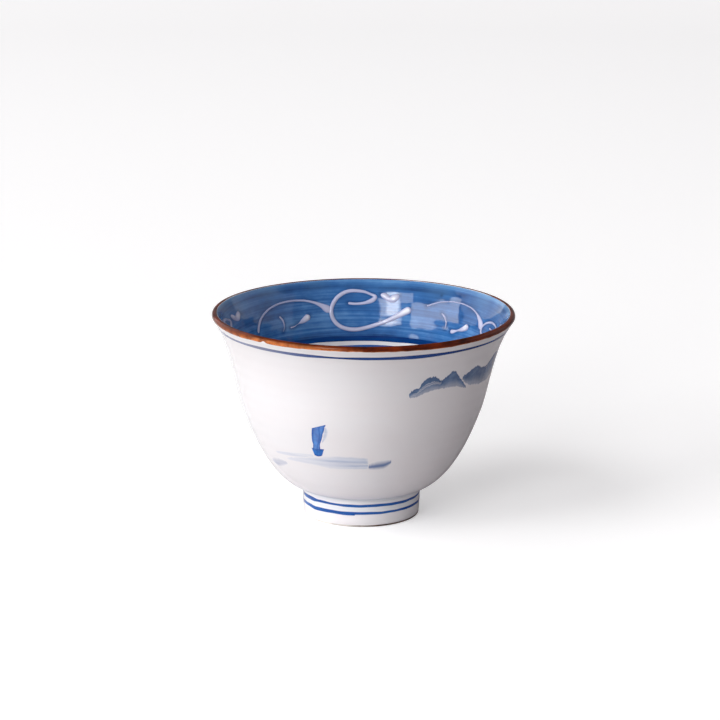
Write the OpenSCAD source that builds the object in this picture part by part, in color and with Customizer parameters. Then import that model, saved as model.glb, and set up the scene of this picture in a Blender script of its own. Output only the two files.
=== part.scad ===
// Handleless porcelain tea cup: a thrown bowl on a turned foot ring, an iron brown
// lip, cobalt lines, a small painted seascape outside and a slip-trailed vine inside.
// Origin: centre of the foot on the table. +Z is up, -Y is the painted front.

/* [Cup] */
// Outside diameter across the lip
rim_d = 86; // [80:1:92]
// Height from the table to the top of the lip
cup_h = 59.2; // [56:0.2:62]
// Outside diameter at the belly, where the lower curve meets the upper one
belly_d = 68.2; // [64:0.2:70]
// Height of that belly point
belly_z = 31.7; // [29:0.1:34]
// Thickness of the wall, measured level
wall = 2.1; // [1.8:0.1:2.6]
// Thickness of the rounded lip
lip = 1.9; // [1.6:0.1:2]
// Height of the well floor inside
well_z = 12; // [11:0.2:13]

/* [Foot ring] */
// Outside diameter of the foot where it stands
foot_d = 33.2; // [30:0.2:34]
// Outside diameter of the foot where it meets the bowl
foot_top_d = 33.6; // [33:0.2:35]
// Height of the foot ring
foot_z = 8.2; // [7:0.1:8.4]
// Thickness of the foot ring
foot_wall = 3.2; // [2.6:0.1:4]
// Height of the hollow under the cup
recess_z = 5; // [4:0.1:6]
// Height of the bare, unglazed edge
edge_z = 0.6; // [0.4:0.1:1]

/* [Colour bands] */
// Thickness of a painted layer
paint = 0.2; // [0.15:0.05:0.3]
// How far the brown iron glaze comes down from the top of the lip
brown_h = 1.5; // [1:0.1:2]
// Middle height of the line under the lip
rim_line_z = 55.7; // [54:0.1:56.5]
// Width of the fine lines
line_w = 0.6; // [0.4:0.1:0.9]
// Middle height of the upper foot line
foot_line_upper_z = 6.4; // [5.8:0.1:6.8]
// Middle height of the lower foot line
foot_line_lower_z = 4.1; // [3:0.1:4.6]
// Lower edge of the blue wash inside
wash_z = 43.2; // [41:0.1:45]
// Width of the dark ring that closes the wash
dark_ring_w = 1.4; // [0.8:0.1:1.8]
// White gap between the dark ring and the thin ring below it
ring_gap = 1.2; // [0.6:0.1:2]

/* [Slip vine] */
// Number of vine scrolls round the inside
scrolls = 4; // [4:1:4]
// How far the slip stands out of the wash
slip_h = 0.7; // [0.4:0.1:1]

/* [Hidden] */
$fn = 96;
rim_r = rim_d / 2;
belly_r = belly_d / 2;
lip_r = lip / 2;
brown_z = cup_h - brown_h;
curve_steps = 14;

// Which way each scroll starts, as a heading in degrees round the cup from the front,
// anticlockwise from above, and how many degrees it takes
scroll_start = [237, 155.5, 73, -25];
scroll_span = [81.5, 82.5, 98, 98];
drawn_span = 81.5;

// A cubic curve from a to d, pulled towards b and c
function curve(a, b, c, d) = [for (i = [0:curve_steps]) let (t = i / curve_steps, s = 1 - t)
    s * s * s * a + 3 * s * s * t * b + 3 * s * t * t * c + t * t * t * d];

// Outside of the bowl, from the foot up over the belly to the brown lip
foot_join = [foot_top_d / 2 + 1.1, foot_z + 0.2];
lip_outer = [rim_r - 0.2, brown_z];
outer_low = curve(foot_join, foot_join + [8.1, 2.7], [belly_r - 3, belly_z - 8.7], [belly_r, belly_z]);
outer_high = curve([belly_r, belly_z], [belly_r + 2.4, belly_z + 6.9], lip_outer - [5.6, 7.8], lip_outer);
outer_wall = concat(outer_low, [for (i = [1:curve_steps]) outer_high[i]]);

// Inside of the bowl, from the middle of the well up to the lip
inner_belly = [belly_r - wall, belly_z];
lip_inner = [rim_r - lip - 0.6, brown_z];
inner_low = curve([0, well_z], [19, well_z], inner_belly - [2.9, 11.4], inner_belly);
inner_high = curve(inner_belly, inner_belly + [2.4, 7], lip_inner - [5.4, 7.2], lip_inner);
inner_wall = concat(inner_low, [for (i = [1:curve_steps]) inner_high[i]]);

function outer_r(z) = lookup(z, [for (p = outer_wall) [p.y, p.x]]);
function inner_r(z) = lookup(z, [for (p = inner_wall) [p.y, p.x]]);
function foot_r(z) = foot_d / 2 + (foot_top_d - foot_d) / 2 * min(1, z / foot_line_lower_z);
function turned_back(points) = [for (i = [len(points) - 1:-1:0]) points[i]];
function shifted(points, dx) = [for (p = points) [p.x + dx, p.y]];

// A smooth run of points through a hand-drawn path of [heading, height, half width]
function eased(a, b, c, d, t) = 0.5 * (2 * b + (c - a) * t + (2 * a - 5 * b + 4 * c - d) * t * t
    + (3 * b - a - 3 * c + d) * t * t * t);
function smooth(path, steps = 2) = let (last = len(path) - 1) [
    for (i = [0:last - 1], k = [0:steps - 1])
        eased(path[max(i - 1, 0)], path[i], path[i + 1], path[min(i + 2, last)], k / steps),
    path[last]];

// The outline of a brush or slip stroke: out along one side, round the tip, back along
// the other side and round the start
function side(path, sign) = [for (i = [0:len(path) - 1])
    let (a = path[max(i - 1, 0)], b = path[min(i + 1, len(path) - 1)], run = [b.x - a.x, b.y - a.y])
    [path[i].x, path[i].y] + sign * path[i].z * [-run.y, run.x] / norm(run)];
function cap(last, tip) = let (a = atan2(tip.y - last.y, tip.x - last.x))
    [for (turn = [60:-30:-60]) [tip.x, tip.y] + tip.z * [cos(a + turn), sin(a + turn)]];
function stroke(path) = let (n = len(path)) concat(side(path, 1), cap(path[n - 2], path[n - 1]),
    turned_back(side(path, -1)), cap(path[1], path[0]));

// Flattens [heading, height, width] to the plane that faces the heading middle
function flat_outside(path, middle) = [for (p = path) [outer_r(p.y) * sin(p.x - middle), p.y, p.z]];
function flat_inside(path, middle) = [for (p = path) [inner_r(p.y) * sin(p.x - middle), p.y, p.z]];

// Slip strokes of one scroll as [degrees along it, height, half width]
vine_path = [[0.5, 50.1, 0.6], [5, 52.1, 0.45], [11.5, 53.9, 0.4], [20, 54.5, 0.4], [28.5, 54.3, 0.45],
    [35, 53, 0.5], [39.2, 51.5, 0.5]];
scroll_path = [[51, 52.6, 0.4], [57.5, 52.4, 0.5], [61.6, 53.3, 0.5], [61, 54.6, 0.5], [56, 55.6, 0.5],
    [50.5, 55.8, 0.55], [45, 54.4, 0.6], [41.5, 51.3, 0.7], [42.6, 48.1, 0.7], [46.5, 45.9, 0.65],
    [52.5, 45.1, 0.65], [59, 45.8, 0.65], [67.7, 47.6, 0.7], [74.6, 49.8, 0.9], [78, 51, 1.1]];
leaf_path = [[65, 54.9, 0.3], [66.8, 54.2, 0.75], [68.8, 53.7, 0.9], [70.8, 54.5, 0.7], [72.6, 55.4, 0.3]];
tendril_path = [[14.4, 50.7, 0.35], [16.6, 49.7, 0.35], [17.3, 48.5, 0.35], [16.4, 47.2, 0.35]];
drop_path = [[21.6, 47.1, 0.5], [24.5, 47.7, 0.4], [27.2, 48.4, 0.6], [30, 49.3, 0.9]];

// Painted shapes as [heading, height]
sail_outline = [[-24, 33.5], [-21, 34.2], [-16.7, 35.1], [-17.3, 33.1], [-19.4, 30.7], [-21, 27],
    [-24.8, 26.9], [-23.9, 28.3], [-24.4, 29.9]];
hull_outline = [[-25.4, 26.6], [-18.8, 26.6], [-20, 25], [-23.8, 24.8]];
far_water_path = [[-48.5, 23.7, 0.25], [-38, 24.3, 0.45], [-31, 23.8, 0.6], [-26, 23.3, 0.7]];
near_water_path = [[-33, 21, 0.5], [-22, 21.7, 1.3], [-10, 22.5, 1.8], [0, 22.6, 1.9], [3.4, 22.5, 1.6]];
water_dab_outline = [[3.6, 21.9], [8, 22.9], [14.4, 23.6], [14.2, 22.3], [12, 21.3], [4.2, 21.1]];
shore_dab_path = [[-60, 19.6, 0.5], [-54, 18.9, 0.9], [-48, 18.5, 0.5]];
ridge_outlines = [
    [[20.6, 43.5], [24, 45.3], [27.5, 47.7], [30.1, 48.7], [33.5, 47.5], [35.8, 47.8], [35.8, 44.3], [30, 43.7],
        [22.3, 42.8]],
    [[36, 47.9], [38.6, 49.2], [41, 49.5], [43.6, 48.1], [46.4, 45.7], [51.4, 42.9], [51.4, 42.5], [43.4, 43.8],
        [36, 44.3]],
    [[51.6, 42.8], [53.5, 44.1], [55.8, 47.2], [60.3, 49.1], [66, 48.9], [70.6, 47.3], [70.6, 43.1], [61.5, 42.7],
        [51.6, 42.5]],
    [[70.8, 47.4], [74, 50.3], [78, 50.1], [83, 47.5], [90, 45.6], [94.5, 44.8], [94.5, 43.9], [82, 43],
        [70.8, 43.1]]];

// --- surfaces the painter and the slip trailer work on ---

module level(low, high) translate([-rim_d, -rim_d, low]) cube([2 * rim_d, 2 * rim_d, high - low]);

// Its seam is turned to the side of the cup that has no painting
module skin_outside() rotate([0, 0, 180]) rotate_extrude()
    polygon(concat(outer_wall, turned_back(shifted(outer_wall, paint))));

module skin_inside(from, to) rotate_extrude()
    polygon(concat(shifted(inner_high, -from), turned_back(shifted(inner_high, -to))));

// A flat shape, drawn facing the heading middle, carried outwards through the wall
module facing(middle) rotate([90, 0, middle]) linear_extrude(rim_d) children();

module painted(middle) intersection() {
    skin_outside();
    facing(middle) children();
}

module trailed(middle) intersection() {
    skin_inside(paint, paint + slip_h);
    facing(middle) children();
}

// --- thrown and turned pieces ---

module bowl() color("white") rotate_extrude() polygon(concat(
    [[0, recess_z], [foot_top_d / 2 - foot_wall, recess_z], [foot_top_d / 2 - foot_wall, foot_z],
        [foot_top_d / 2, foot_z]],
    outer_wall, turned_back(inner_wall)));

module foot_ring() color("white") rotate_extrude() polygon([
    [foot_d / 2 - foot_wall + 1, edge_z], [foot_r(edge_z), edge_z], [foot_top_d / 2, foot_line_lower_z],
    [foot_top_d / 2, foot_z], [foot_top_d / 2 - foot_wall, foot_z],
    [foot_top_d / 2 - foot_wall, foot_line_lower_z]]);

module foot_edge() color("tan") rotate_extrude() polygon([
    [foot_d / 2 - foot_wall + 1.3, 0], [foot_d / 2 - 0.2, 0], [foot_r(edge_z), edge_z],
    [foot_d / 2 - foot_wall + 1, edge_z]]);

// --- colour bands ---

module rim_band() color("sienna") rotate_extrude() polygon(concat(
    [lip_inner, lip_outer],
    [for (a = [-15:15:150]) [rim_r - lip_r + lip_r * cos(a), cup_h - lip_r + lip_r * sin(a)]]));

module band_outside(z, w) intersection() {
    skin_outside();
    level(z - w / 2, z + w / 2);
}

module band_inside(low, high) intersection() {
    skin_inside(0, paint);
    level(low, high);
}

module foot_line(z) rotate_extrude()
    translate([foot_top_d / 2, z - line_w / 2]) square([paint, line_w]);

module rim_line() color("royalblue") band_outside(rim_line_z, line_w);

module foot_line_upper() color("royalblue") foot_line(foot_line_upper_z);

module foot_line_lower() color("royalblue") foot_line(foot_line_lower_z + line_w / 2);

module inner_wash() color("cornflowerblue") band_inside(wash_z, brown_z);

module dark_ring() color("navy") band_inside(wash_z - dark_ring_w, wash_z);

module thin_ring() color("royalblue")
    band_inside(wash_z - dark_ring_w - ring_gap - line_w, wash_z - dark_ring_w - ring_gap);

// --- painted seascape on the outside ---

module painted_shape(outline) {
    middle = (min([for (p = outline) p.x]) + max([for (p = outline) p.x])) / 2;
    painted(middle) polygon([for (p = outline) [outer_r(p.y) * sin(p.x - middle), p.y]]);
}

module painted_stroke(path) {
    middle = (path[0].x + path[len(path) - 1].x) / 2;
    painted(middle) polygon(stroke(flat_outside(smooth(path), middle)));
}

module sail() color("royalblue") painted_shape(sail_outline);

module boat_hull() color("steelblue") painted_shape(hull_outline);

module far_water() color("lightsteelblue") painted_stroke(far_water_path);

module near_water() color("lightsteelblue") painted_stroke(near_water_path);

module water_dab() color("steelblue") painted_shape(water_dab_outline);

module shore_dab() color("lightsteelblue") painted_stroke(shore_dab_path);

module ridge(k) color("slategray") painted_shape(ridge_outlines[k - 1]);

// --- slip-trailed vine on the inside ---

function heading(k, degrees) = scroll_start[k - 1] - degrees * scroll_span[k - 1] / drawn_span;
function on_scroll(k, path) = [for (p = path) [heading(k, p.x), p.y, p.z]];

// One slip stroke of scroll k; aim is how far along it the middle of the stroke lies
module slip_stroke(k, path, aim) {
    middle = heading(k, aim);
    color("lavender") trailed(middle) polygon(stroke(flat_inside(smooth(on_scroll(k, path)), middle)));
}

module vine(k) slip_stroke(k, vine_path, 20);

module scroll(k) slip_stroke(k, scroll_path, 60);

module leaf(k) slip_stroke(k, leaf_path, 69);

module tendril(k) slip_stroke(k, tendril_path, 16);

module drop(k) slip_stroke(k, drop_path, 26);

bowl();
foot_ring();
foot_edge();
rim_band();
rim_line();
foot_line_upper();
foot_line_lower();
inner_wash();
dark_ring();
thin_ring();
sail();
boat_hull();
far_water();
near_water();
water_dab();
shore_dab();
for (k = [1:len(ridge_outlines)]) ridge(k);
for (k = [1:scrolls]) {
    vine(k);
    scroll(k);
    leaf(k);
    tendril(k);
    drop(k);
}
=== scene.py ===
# %% [markdown]
# # A porcelain tea cup
#
# The cup is a thrown bowl on a turned foot ring. The lip wears brown iron glaze, cobalt lines and a small
# seascape are painted outside, and inside a raised white slip vine lies on a brushed blue wash. The packed
# CAD part gives the frame: every size that it knows is read from it, and each CAD node is then shown by a
# finer piece.

# %% Load the frame
import math
import bpy
import numpy as np
from mathutils import Matrix, Vector


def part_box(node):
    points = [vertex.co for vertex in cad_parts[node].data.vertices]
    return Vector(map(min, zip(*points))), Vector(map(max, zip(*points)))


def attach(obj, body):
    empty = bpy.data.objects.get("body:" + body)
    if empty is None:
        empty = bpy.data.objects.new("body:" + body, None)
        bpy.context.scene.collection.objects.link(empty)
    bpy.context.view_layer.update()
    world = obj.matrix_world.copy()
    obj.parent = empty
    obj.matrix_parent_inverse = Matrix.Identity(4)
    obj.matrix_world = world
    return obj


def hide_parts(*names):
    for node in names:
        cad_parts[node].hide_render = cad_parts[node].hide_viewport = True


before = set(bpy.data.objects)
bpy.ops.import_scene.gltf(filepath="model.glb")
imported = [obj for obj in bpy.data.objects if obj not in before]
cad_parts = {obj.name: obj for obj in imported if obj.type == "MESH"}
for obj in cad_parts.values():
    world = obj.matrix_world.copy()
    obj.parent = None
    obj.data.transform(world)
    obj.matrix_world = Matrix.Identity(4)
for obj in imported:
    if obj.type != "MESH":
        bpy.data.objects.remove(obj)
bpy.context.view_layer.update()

MM = 0.001

# %% [markdown]
# ## Sizes
#
# The lip, the foot and the colour bands stand where their CAD nodes stand, so their sizes come from those
# nodes' boxes, in millimetres. No box shows the belly point, the wall, the round of the lip or the floor
# of the well, so these four are given here.

# %% Sizes from the frame, in millimetres
def span(node, axis):
    """Lowest and highest value of a CAD node's box along one axis, in millimetres."""
    low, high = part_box(node)
    return low[axis] / MM, high[axis] / MM


rim_r = (span("rim_band", 0)[1] - span("rim_band", 0)[0]) / 2
brown_z, cup_h = span("rim_band", 2)
foot_top_r = span("foot_ring", 0)[1]
foot_z = span("foot_ring", 2)[1]
edge_z = span("foot_edge", 2)[1]
recess_z = span("bowl", 2)[0]
wash_z = span("inner_wash", 2)[0]
belly = np.array([34.1, 31.7])
wall = 2.1
lip_r = 0.95
well_z = 12.0
print("lip", round(rim_r, 2), "high", round(cup_h, 2), "foot", round(foot_top_r, 2), round(foot_z, 2))

# %% [markdown]
# ## Camera
#
# A long lens from 860 mm away, about fifteen degrees above the table. The lens looks a little over the
# cup, so the cup sits below the middle of the picture, and it is turned a little about its own axis.

# %% Camera
CAMERA_FAR = 860 * MM
CAMERA_RISE = math.radians(15.3)
CAMERA_ROLL = math.radians(0.3)
AIM_LEFT, AIM_OVER = 0.56 * MM, 15.15 * MM
middle = Vector((0, 0, cup_h * MM / 2))
camera_at = middle + CAMERA_FAR * Vector((0, -math.cos(CAMERA_RISE), math.sin(CAMERA_RISE)))
aim = Vector((-AIM_LEFT, 0, middle.z + AIM_OVER))
lens = bpy.data.cameras.new("long_lens")
lens.lens, lens.sensor_width = 150.0, 36.0
lens.clip_start, lens.clip_end = 0.05, 50.0
camera = bpy.data.objects.new("camera", lens)
look = (aim - camera_at).to_track_quat("-Z", "Y").to_matrix() @ Matrix.Rotation(CAMERA_ROLL, 3, "Z")
camera.matrix_world = Matrix.Translation(camera_at) @ look.to_4x4()
bpy.context.scene.collection.objects.link(camera)
bpy.context.scene.camera = camera
print("camera at", [round(v, 3) for v in camera_at])

# %% [markdown]
# ## Section of the cup
#
# A potter's cup is one outline turned about an axis. The outline runs from the middle of the underside,
# out to the foot, up the wall, over the round lip, and down the inside to the middle of the well. Its
# stretches are cubic curves and one arc, joined into one line measured by its own length. A curve leaves
# its first point towards the second and comes into its last from the third, so four points settle a whole
# stretch of wall.

# %% Curves and arcs
def curve(a, b, c, d, count=70):
    """Points of the cubic curve that leaves a towards b and comes into d from c."""
    a, b, c, d = (np.asarray(p, float) for p in (a, b, c, d))
    t = np.linspace(0, 1, count)[:, None]
    return (1 - t) ** 3 * a + 3 * (1 - t) ** 2 * t * b + 3 * (1 - t) * t ** 2 * c + t ** 3 * d


def arc(centre, radius, start, stop, count=40):
    """Points of the arc about centre from angle start to angle stop, in degrees."""
    a = np.radians(np.linspace(start, stop, count))
    return np.asarray(centre, float) + radius * np.stack([np.cos(a), np.sin(a)], 1)


def joined(*stretches):
    """The stretches end to end, without the points that repeat where they meet."""
    line = np.vstack(stretches)
    keep = np.r_[True, np.hypot(*np.diff(line, axis=0).T) > 1e-6]
    return line[keep]


# %% The section line
LIP_OUT, LIP_IN = -36, 143
lip_mid = np.array([rim_r - lip_r, cup_h - lip_r])
foot_join = np.array([foot_top_r + 1.1, foot_z + 0.2])
inner_belly = belly - [wall, 0]
over_lip = arc(lip_mid, lip_r, LIP_OUT, LIP_IN)
underside = curve([0, recess_z + 0.5], [7, recess_z + 0.5], [11, recess_z + 0.3],
                  [foot_top_r - 2.4, recess_z - 0.1])
over_foot = curve(underside[-1], underside[-1] + [1.2, 0.6], foot_join - [2, 0.3], foot_join)
outer_low = curve(foot_join, foot_join + [8.1, 2.7], belly - [3, 8.7], belly)
outer_high = curve(belly, belly + [2.4, 6.9], over_lip[0] - [5.6, 7.7], over_lip[0])
inner_high = curve(over_lip[-1], over_lip[-1] - [5.5, 7.3], inner_belly + [2.4, 7], inner_belly)
inner_low = curve(inner_belly, inner_belly - [2.9, 11.4], [19, well_z], [0, well_z])
outside = joined(outer_low, outer_high)
inside = joined(inner_high, inner_low)
section = joined(underside, over_foot, outside, over_lip, inside)
section_s = np.r_[0, np.cumsum(np.hypot(*np.diff(section, axis=0).T))]
tangent = np.gradient(section, section_s, axis=0)
section_n = np.stack([tangent[:, 1], -tangent[:, 0]], 1) / np.hypot(*tangent.T)[:, None]


def length_at(stretch_end):
    """Length along the section where the given point lies."""
    return section_s[np.argmin(np.hypot(*(section - stretch_end).T))]


S_FOOT, S_LIP_OUT = length_at(foot_join), length_at(over_lip[0])
S_TOP, S_LIP_IN = length_at([lip_mid[0], cup_h]), length_at(over_lip[-1])
S_END = section_s[-1]


def s_outside(z):
    """Length along the section of the outside wall at height z."""
    part = (section_s >= S_FOOT) & (section_s <= S_LIP_OUT)
    return np.interp(z, section[part, 1], section_s[part])


def s_inside(z):
    """Length along the section of the inside wall at height z."""
    part = section_s >= S_LIP_IN
    return np.interp(z, section[part, 1][::-1], section_s[part][::-1])


print("section", round(float(S_END), 1), "mm long")
print("lip from", round(float(S_LIP_OUT), 1), "to", round(float(S_LIP_IN), 1))

# %% [markdown]
# ## The hand in the shape
#
# A thrown cup is never a perfect solid of revolution. It leans a hair, the lip is slightly oval, and the
# fingers leave faint rings. Everything that lies on the cup goes through the same small movement, so that
# the paint and the slip stay on the wall.

# %% Points on the cup
LEAN = 0.35
OVAL, THREE_SIDED = 0.0016, 0.0008
RING_DEPTH, RING_PITCH = 0.014, 3.4
LIP_WAVE = 0.10


def by_hand(points):
    """Moves points by a lean that grows with height, two ovals and faint finger rings."""
    x, y, z = np.moveaxis(np.asarray(points, float), -1, 0)
    rise = z / cup_h
    theta = np.arctan2(y, x)
    oval = 1 + rise * (OVAL * np.cos(2 * theta - 0.6) + THREE_SIDED * np.cos(3 * theta + 1.1))
    mid_wall = np.clip(rise * (1.3 - rise) * 3, 0, 1)
    rings = RING_DEPTH * np.sin(2 * np.pi * z / RING_PITCH + 0.8 * np.sin(theta)) * mid_wall
    radius = np.maximum(np.hypot(x, y), 1e-9)
    scale = oval + rings / np.maximum(radius, 6)
    lift = LIP_WAVE * rise ** 4 * np.sin(2 * theta + 0.9)
    return np.stack([x * scale + LEAN * rise, y * scale, z + lift], -1)


def on_cup(heading, s, out=0.0):
    """Points at a heading round the cup (degrees from the front, anticlockwise from above) and a length s
    along the section, standing out of the surface by out."""
    h = np.radians(heading)
    r = np.interp(s, section_s, section[:, 0]) + out * np.interp(s, section_s, section_n[:, 0])
    z = np.interp(s, section_s, section[:, 1]) + out * np.interp(s, section_s, section_n[:, 1])
    return by_hand(np.stack(np.broadcast_arrays(r * np.sin(h), -r * np.cos(h), z), -1))


def radius_at(s):
    """Distance from the axis at a length s along the section."""
    return np.interp(s, section_s, section[:, 0])


def ripple(heading, seed, size, waves=(3, 26)):
    """A hand wobble that closes round the cup: sines of whole wave numbers, weaker as they get finer."""
    rng = np.random.default_rng(seed)
    k = np.arange(waves[0], waves[1])
    weight = rng.normal(size=k.size) / k ** 0.7
    phase = rng.uniform(0, 2 * np.pi, k.size)
    wave = np.sin(np.radians(np.asarray(heading))[..., None] * k + phase) @ weight
    return size * wave / np.sqrt((weight ** 2).sum() / 2)


def bump_at(value, centre, width):
    """A soft mark of that width round a centre."""
    return np.exp(-((value - centre) / width) ** 2)


print("rim radius at four headings", np.hypot(*on_cup(np.arange(4) * 90, S_TOP)[:, :2].T).round(2))

# %% [markdown]
# ## From grid to piece
#
# Every piece here is a grid: rows of points, each row a closed ring. Rows may close round the cup, as on a
# painted band, or run from one end to the other, as on a brush stroke, and then each end is drawn to one
# point. One function turns such a grid into a mesh, with its painted layers, and hands it to the frame.

# %% Meshes from grids
def outward(points, faces):
    """Turns every face over if the closed mesh encloses a negative volume."""
    a, b, c = points[faces[:, 0]], points[faces[:, 1]], points[faces[:, 2]]
    d = points[faces[:, 3]]
    volume = (a * np.cross(b, c)).sum() + (a * np.cross(c, d)).sum()
    return faces[:, ::-1] if volume < 0 else faces


def grid_faces(rows, ring, rows_closed):
    """Faces between neighbouring rows, and rings of triangles (last corner repeated) at the ends."""
    index = np.arange(rows * ring).reshape(rows, ring)
    side = np.roll(index, -1, 1)
    if rows_closed:
        return np.stack([index, side, np.roll(side, -1, 0), np.roll(index, -1, 0)], -1).reshape(-1, 4)
    body = np.stack([index[:-1], side[:-1], side[1:], index[1:]], -1).reshape(-1, 4)
    start, stop = np.full(ring, rows * ring), np.full(ring, rows * ring + 1)
    first = np.stack([start, side[0], index[0], index[0]], -1)
    last = np.stack([stop, index[-1], side[-1], side[-1]], -1)
    return np.vstack([body, first, last])


def with_ends(values, rows_closed):
    """Per-point values as one flat array, with the mean of each end row added for the two end points."""
    flat = values.reshape(-1, *values.shape[2:])
    if rows_closed:
        return flat
    return np.concatenate([flat, values[0].mean(0)[None], values[-1].mean(0)[None]])


made = {}


def piece(node, grid, material, rows_closed=False, name=None, **layers):
    """Makes one mesh from a grid of points in millimetres. It stands for the CAD node, rides with the cup,
    and keeps each extra layer of numbers as a point attribute that its material can read."""
    name = name or node + "_fired"
    rows, ring = grid.shape[:2]
    points = with_ends(grid, rows_closed) * MM
    faces = outward(points, grid_faces(rows, ring, rows_closed))
    outline = [list(dict.fromkeys(face)) for face in faces.tolist()]
    mesh = bpy.data.meshes.new(name)
    mesh.from_pydata(points.tolist(), [], outline)
    mesh.polygons.foreach_set("use_smooth", np.ones(len(outline), bool))
    for layer_name, values in layers.items():
        attribute = mesh.attributes.new(layer_name, "FLOAT", "POINT")
        attribute.data.foreach_set("value", with_ends(values, rows_closed).astype(np.float32))
    mesh.set_sharp_from_angle(angle=math.radians(50))
    mesh.materials.append(material)
    item = bpy.data.objects.new(name, mesh)
    bpy.context.scene.collection.objects.link(item)
    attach(item, "root")
    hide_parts(node)
    made[name] = len(outline)
    return item


def skin(heading, s_low, s_high, proud, sunk=0.06, across=12, swell=0.0):
    """A thin layer of glaze on the cup between two lengths of the section. Its ring goes over the top,
    rounded off at both edges by swell, and comes back inside the wall. Gives the grid and the share v."""
    v = np.linspace(0, 1, across)
    top = proud * (1 - swell * np.abs(2 * v - 1) ** 6)
    s = s_low[:, None] + (s_high - s_low)[:, None] * v
    upper = on_cup(heading[:, None], s, top)
    lower = on_cup(heading[:, None], s[:, ::-1], -sunk)
    return np.concatenate([upper, lower], 1), np.broadcast_to(np.r_[v, v[::-1]], (heading.size, 2 * across))


# %% [markdown]
# ## Materials
#
# All but the bare edge of the foot wears one clear, glossy glaze, so each material is the same shader over
# a different colour. The colour comes from noise stretched along the brush, and from the painted layers of
# the piece. The unevenness of fired glaze is far below a millimetre, so a bump makes it and not the mesh.

# %% Node helpers
GRAIN_FINE, WAVES_FINE = 420, 130
GRAIN_HEIGHT = 0.02 * MM


def glaze(name, roughness=0.07, unevenness=0.12, shine=0.5, wavy=0.0):
    """A new material with a glossy shader and the fine bump of fired glaze, over slow waves that are wavy
    millimetres high. Gives the material, its node tree and its shader."""
    material = bpy.data.materials.new(name)
    material.use_nodes = True
    tree = material.node_tree
    shader = tree.nodes["Principled BSDF"]
    shader.inputs["Roughness"].default_value = roughness
    shader.inputs["IOR"].default_value = 1.5
    shader.inputs["Specular IOR Level"].default_value = shine
    place = tree.nodes.new("ShaderNodeTexCoord")
    grain = tree.nodes.new("ShaderNodeTexNoise")
    grain.inputs["Scale"].default_value = GRAIN_FINE
    grain.inputs["Detail"].default_value = 3
    bump = tree.nodes.new("ShaderNodeBump")
    bump.inputs["Strength"].default_value = unevenness
    bump.inputs["Distance"].default_value = GRAIN_HEIGHT
    tree.links.new(place.outputs["Object"], grain.inputs["Vector"])
    tree.links.new(grain.outputs["Fac"], bump.inputs["Height"])
    tree.links.new(bump.outputs["Normal"], shader.inputs["Normal"])
    if wavy:
        slow = tree.nodes.new("ShaderNodeTexNoise")
        waves = tree.nodes.new("ShaderNodeBump")
        slow.inputs["Scale"].default_value = WAVES_FINE
        slow.inputs["Detail"].default_value = 1
        waves.inputs["Distance"].default_value = wavy * MM
        tree.links.new(place.outputs["Object"], slow.inputs["Vector"])
        tree.links.new(slow.outputs["Fac"], waves.inputs["Height"])
        tree.links.new(waves.outputs["Normal"], bump.inputs["Normal"])
    return material, tree, shader


def noise(tree, cells, detail=4, rough=0.6):
    """Noise on the object's own coordinates, with that many cells per metre along x, y and z."""
    place = tree.nodes.new("ShaderNodeTexCoord")
    mapping = tree.nodes.new("ShaderNodeMapping")
    mapping.inputs["Scale"].default_value = cells
    texture = tree.nodes.new("ShaderNodeTexNoise")
    texture.inputs["Scale"].default_value = 1.0
    texture.inputs["Detail"].default_value = detail
    texture.inputs["Roughness"].default_value = rough
    tree.links.new(place.outputs["Object"], mapping.inputs["Vector"])
    tree.links.new(mapping.outputs["Vector"], texture.inputs["Vector"])
    return texture.outputs["Fac"]


def layer(tree, name):
    """The piece's painted layer of that name."""
    attribute = tree.nodes.new("ShaderNodeAttribute")
    attribute.attribute_name = name
    return attribute.outputs["Fac"]


def ramp(tree, value, stops):
    """Turns a value into a colour through (position, colour) stops."""
    node = tree.nodes.new("ShaderNodeValToRGB")
    elements = node.color_ramp.elements
    while len(elements) < len(stops):
        elements.new(0.5)
    for element, (position, colour) in zip(elements, stops):
        element.position = position
        element.color = (*colour, 1)
    tree.links.new(value, node.inputs["Fac"])
    return node.outputs["Color"]


def fit(tree, value, low, high, to_low=0.0, to_high=1.0):
    """Maps a value from one range to another, held at both ends."""
    node = tree.nodes.new("ShaderNodeMapRange")
    for socket, number in zip(("From Min", "From Max", "To Min", "To Max"), (low, high, to_low, to_high)):
        node.inputs[socket].default_value = number
    tree.links.new(value, node.inputs["Value"])
    return node.outputs["Result"]


def blend(tree, share, below, above):
    """Mixes two colours, sockets or plain numbers, by share."""
    node = tree.nodes.new("ShaderNodeMix")
    node.data_type = "RGBA"
    sockets = {s.identifier: s for s in node.inputs}
    for key, value in (("Factor_Float", share), ("A_Color", below), ("B_Color", above)):
        if isinstance(value, bpy.types.NodeSocket):
            tree.links.new(value, sockets[key])
        else:
            sockets[key].default_value = value if key == "Factor_Float" else (*value, 1)
    return next(s for s in node.outputs if s.identifier == "Result_Color")


def combine(tree, how, a, b):
    """Math on two values, sockets or plain numbers."""
    node = tree.nodes.new("ShaderNodeMath")
    node.operation = how
    for socket, value in zip(node.inputs, (a, b)):
        if isinstance(value, bpy.types.NodeSocket):
            tree.links.new(value, socket)
        else:
            socket.default_value = value
    return node.outputs["Value"]


# %% [markdown]
# ## Body, bare clay and brown glaze
#
# Thick clear glaze looks a little blue, so a pooled layer tints the white where it gathers; where foot and
# wall meet, the same layer also lays painted shade in the crease. The clay shows bare on the edge of the
# foot, pale, and dark brown on one side, where a painted contact shadow lies.
# The brown glaze is nearly black where it is thick and orange where it is thin and the body shows through.
# The same share also paints the lit left side of the lip lighter orange, a painted highlight.

# %% Porcelain, clay and iron
def porcelain_colour(tree):
    """White porcelain with a faint warm and cool mottle."""
    return ramp(tree, noise(tree, (60, 60, 90)), [(0.3, (0.79, 0.765, 0.772)), (0.7, (0.79, 0.782, 0.792))])


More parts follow.
